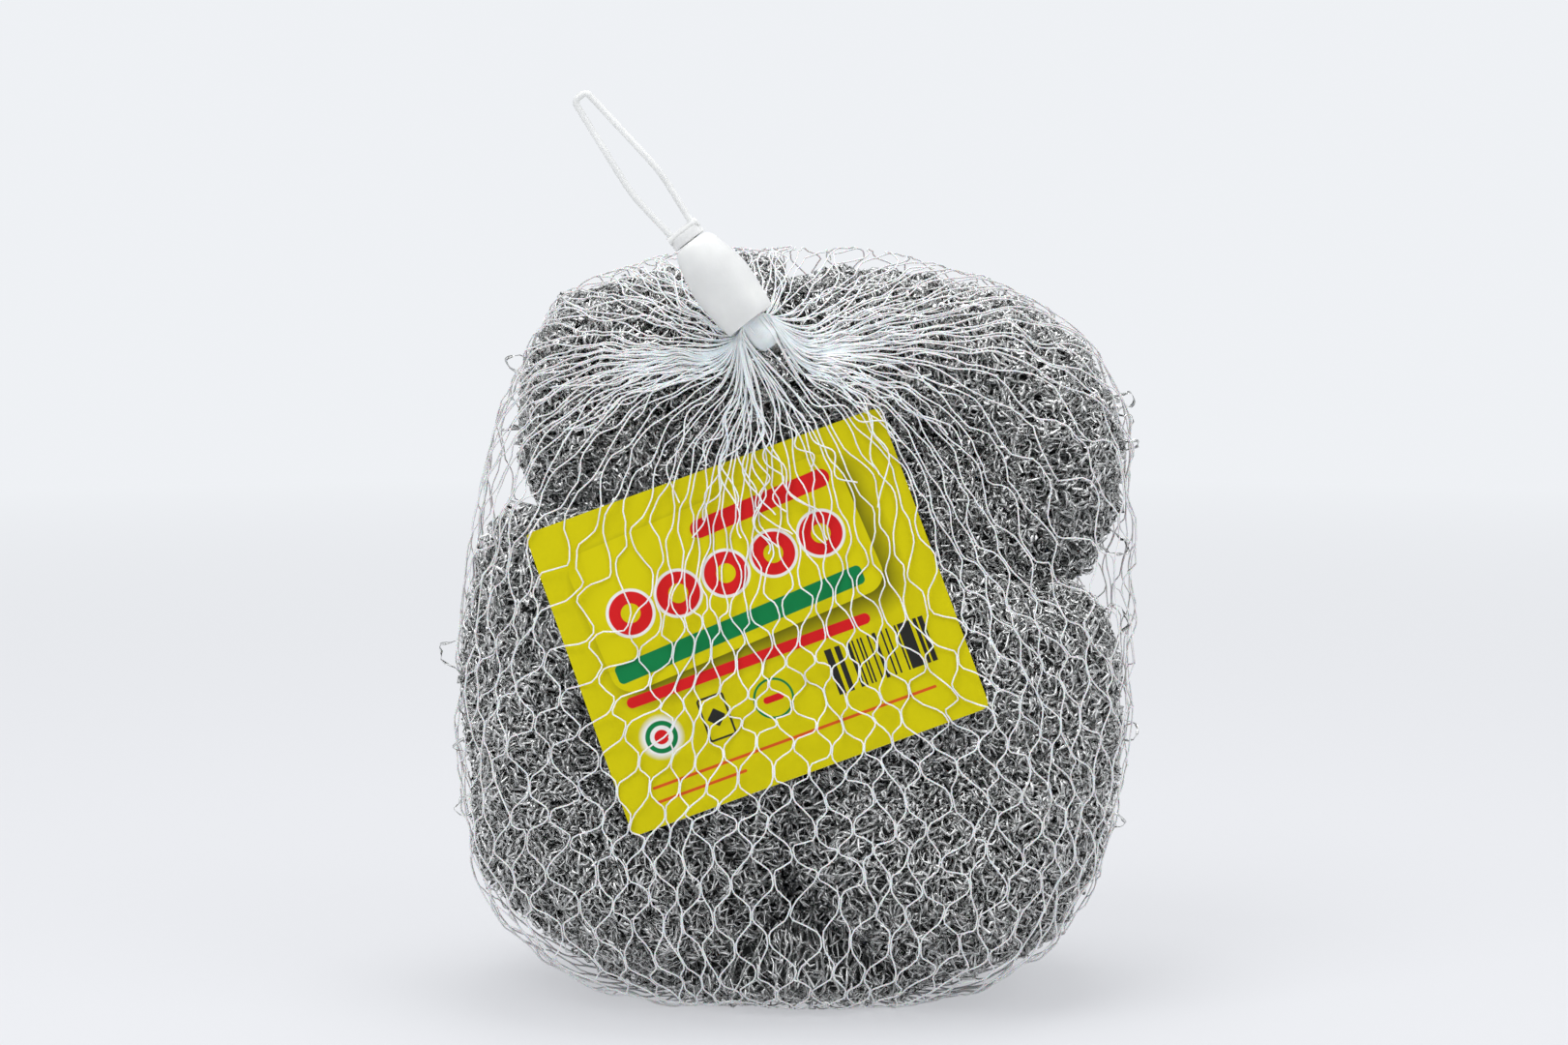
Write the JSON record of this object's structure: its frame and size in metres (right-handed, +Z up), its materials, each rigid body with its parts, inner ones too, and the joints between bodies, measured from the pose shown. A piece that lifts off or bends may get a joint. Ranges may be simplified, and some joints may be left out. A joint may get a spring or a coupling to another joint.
{
  "type": "pot scrubber pack",
  "caption": "Knitted-wire pot scrubbers squeezed together in a net bag, with a label card under the net and a plastic hanging clip with a loop on the gathered neck.",
  "frame": {"origin": "middle of the spot the pack stands on, at the floor", "axes": "+Z up, the label card faces -Y, +X is to the right seen from the label's side"},
  "size_m": [0.166, 0.122, 0.2181],
  "materials": {
    "galvanised_wire": "bright galvanised flat wire, knitted",
    "net_plastic": "white knitted plastic strands",
    "printed_card": "yellow printed card, slightly coated",
    "clip_plastic": "milky white moulded plastic"
  },
  "bodies": {
    "pack": {"upper_left_scrubber": "galvanised_wire", "upper_right_scrubber": "galvanised_wire", "lower_left_scrubber": "galvanised_wire", "lower_right_scrubber": "galvanised_wire", "bottom_scrubber": "galvanised_wire", "net_bag": "net_plastic", "label_card": "printed_card"},
    "neck": {"net_neck": "net_plastic"},
    "clip": {"net_tail": "net_plastic", "clip_sleeve": "clip_plastic", "clip_plug": "clip_plastic"},
    "loop": {"hang_loop": "clip_plastic"}
  },
  "joints": [
    {"name": "clip_tilt", "type": "hinge", "parent": "pack", "child": "neck", "pos_m": [-0.00788, -0.0319, 0.16092], "axis": [0, 1, 0], "range_deg": [0, 75]},
    {"name": "clip_swing", "type": "hinge", "parent": "neck", "child": "clip", "pos_m": [-0.00788, -0.0319, 0.16092], "axis": [0.7934, 0, 0.6088], "range_deg": [0, 60]},
    {"name": "loop_fold", "type": "hinge", "parent": "clip", "child": "loop", "pos_m": [-0.02644, -0.0287, 0.1851], "axis": [0.7934, 0, 0.6088], "range_deg": [-60, 60], "stiffness_Nm_per_rad": 0.0001}
  ]
}
